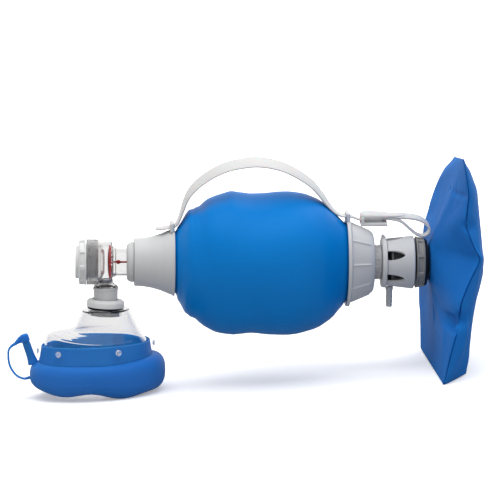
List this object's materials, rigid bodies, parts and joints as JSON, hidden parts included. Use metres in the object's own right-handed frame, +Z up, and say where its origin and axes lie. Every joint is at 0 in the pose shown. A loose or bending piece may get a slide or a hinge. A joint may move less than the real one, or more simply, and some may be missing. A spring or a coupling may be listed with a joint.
{
  "type": "bag valve mask",
  "caption": "Manual resuscitator: self-inflating silicone bag with a swivelling patient valve and face mask, a handle strap, and an oxygen reservoir pouch on its inlet valve.",
  "frame": {"origin": "middle of the bounding box in plan, at the lowest point of the mask's cuff", "axes": "+X along the bag's axis from the patient valve to the reservoir pouch, +Z up, mask downwards; the pouch lies across +X"},
  "size_m": [0.4322, 0.196, 0.225],
  "materials": {
    "blue_silicone": "satin translucent silicone",
    "blue_vinyl": "satin soft vinyl",
    "blue_film": "satin welded film with fine creases",
    "grey_plastic": "satin moulded",
    "dark_grey_plastic": "satin moulded",
    "beige_grey_plastic": "satin moulded",
    "clear_plastic": "clear polished",
    "red_silicone": "satin",
    "black_rubber": "matte",
    "grey_silicone": "satin",
    "white_plastic": "satin, slightly translucent"
  },
  "bodies": {
    "bag": {"outer_bag": "blue_silicone", "inner_bag": "grey_silicone", "front_collar": "grey_plastic", "swivel_ring": "grey_plastic", "swivel_oring": "black_rubber", "front_neck_insert": "grey_plastic", "rear_collar": "grey_plastic", "inlet_neck": "dark_grey_plastic", "strap_handle": "white_plastic", "clip_base": "clear_plastic", "clip_pin": "grey_plastic"},
    "patient_valve": {"valve_housing": "clear_plastic", "thread_ring": "clear_plastic", "exhalation_port": "grey_plastic", "exhalation_seat": "clear_plastic", "shutter_seat": "clear_plastic"},
    "shutter": {"shutter_valve": "red_silicone"},
    "exhalation_flap": {"exhalation_disc": "grey_silicone"},
    "connector": {"patient_connector": "grey_plastic"},
    "mask": {"mask_collar": "grey_plastic", "collar_gasket": "black_rubber", "collar_nut": "clear_plastic", "mask_dome": "clear_plastic", "mask_skirt": "blue_vinyl", "mask_cuff": "blue_vinyl", "mask_peg_1": "clear_plastic", "mask_peg_2": "clear_plastic", "mask_peg_3": "clear_plastic", "mask_peg_4": "clear_plastic", "mask_peg_5": "clear_plastic", "mask_peg_6": "clear_plastic", "inflation_tube": "blue_vinyl", "plug_tether": "blue_vinyl"},
    "plug": {"inflation_plug": "blue_vinyl"},
    "inlet_flap": {"bag_inlet_disc": "grey_silicone"},
    "inlet_valve": {"inlet_flange": "grey_plastic", "inlet_housing": "grey_plastic", "valve_plate": "grey_plastic", "oxygen_nipple": "grey_plastic", "reservoir_nut": "beige_grey_plastic", "reservoir_gasket": "black_rubber", "reservoir_bag": "blue_film"},
    "intake_flap": {"intake_membrane": "grey_silicone"},
    "relief_flap": {"relief_membrane": "grey_silicone"},
    "clip_lever": {"strap_clip": "white_plastic"}
  },
  "joints": [
    {"name": "valve_swivel", "type": "hinge", "parent": "bag", "child": "patient_valve", "pos_m": [-0.1037, 0, 0.119], "axis": [1, 0, 0], "continuous": true},
    {"name": "shutter_travel", "type": "slide", "parent": "patient_valve", "child": "shutter", "axis": [-1, 0, 0], "range_m": [0, 0.002], "stiffness_N_per_m": 20},
    {"name": "exhalation_travel", "type": "slide", "parent": "patient_valve", "child": "exhalation_flap", "axis": [-1, 0, 0], "range_m": [0, 0.0015], "stiffness_N_per_m": 20},
    {"name": "connector_swivel", "type": "hinge", "parent": "patient_valve", "child": "connector", "pos_m": [-0.1267, 0, 0.09], "axis": [0, 0, 1], "continuous": true},
    {"name": "mask_release", "type": "slide", "parent": "connector", "child": "mask", "axis": [0.0436, 0, -0.999], "range_m": [0, 0.012]},
    {"name": "plug_pull", "type": "slide", "parent": "mask", "child": "plug", "axis": [-0.3256, 0, 0.9455], "range_m": [0, 0.006], "deforming": ["plug_tether"]},
    {"name": "inlet_disc_travel", "type": "slide", "parent": "bag", "child": "inlet_flap", "axis": [-1, 0, 0], "range_m": [0, 0.0015], "stiffness_N_per_m": 20},
    {"name": "reservoir_swivel", "type": "hinge", "parent": "bag", "child": "inlet_valve", "pos_m": [0.1239, 0, 0.119], "axis": [1, 0, 0], "range_deg": [-150, 150]},
    {"name": "intake_travel", "type": "slide", "parent": "inlet_valve", "child": "intake_flap", "axis": [-1, 0, 0], "range_m": [0, 0.0008], "stiffness_N_per_m": 20},
    {"name": "relief_travel", "type": "slide", "parent": "inlet_valve", "child": "relief_flap", "axis": [-1, 0, 0], "range_m": [0, 0.0008], "stiffness_N_per_m": 20},
    {"name": "clip_lever", "type": "hinge", "parent": "bag", "child": "clip_lever", "pos_m": [0.1063, 0, 0.1612], "axis": [0, -1, 0], "range_deg": [0, 70]}
  ]
}
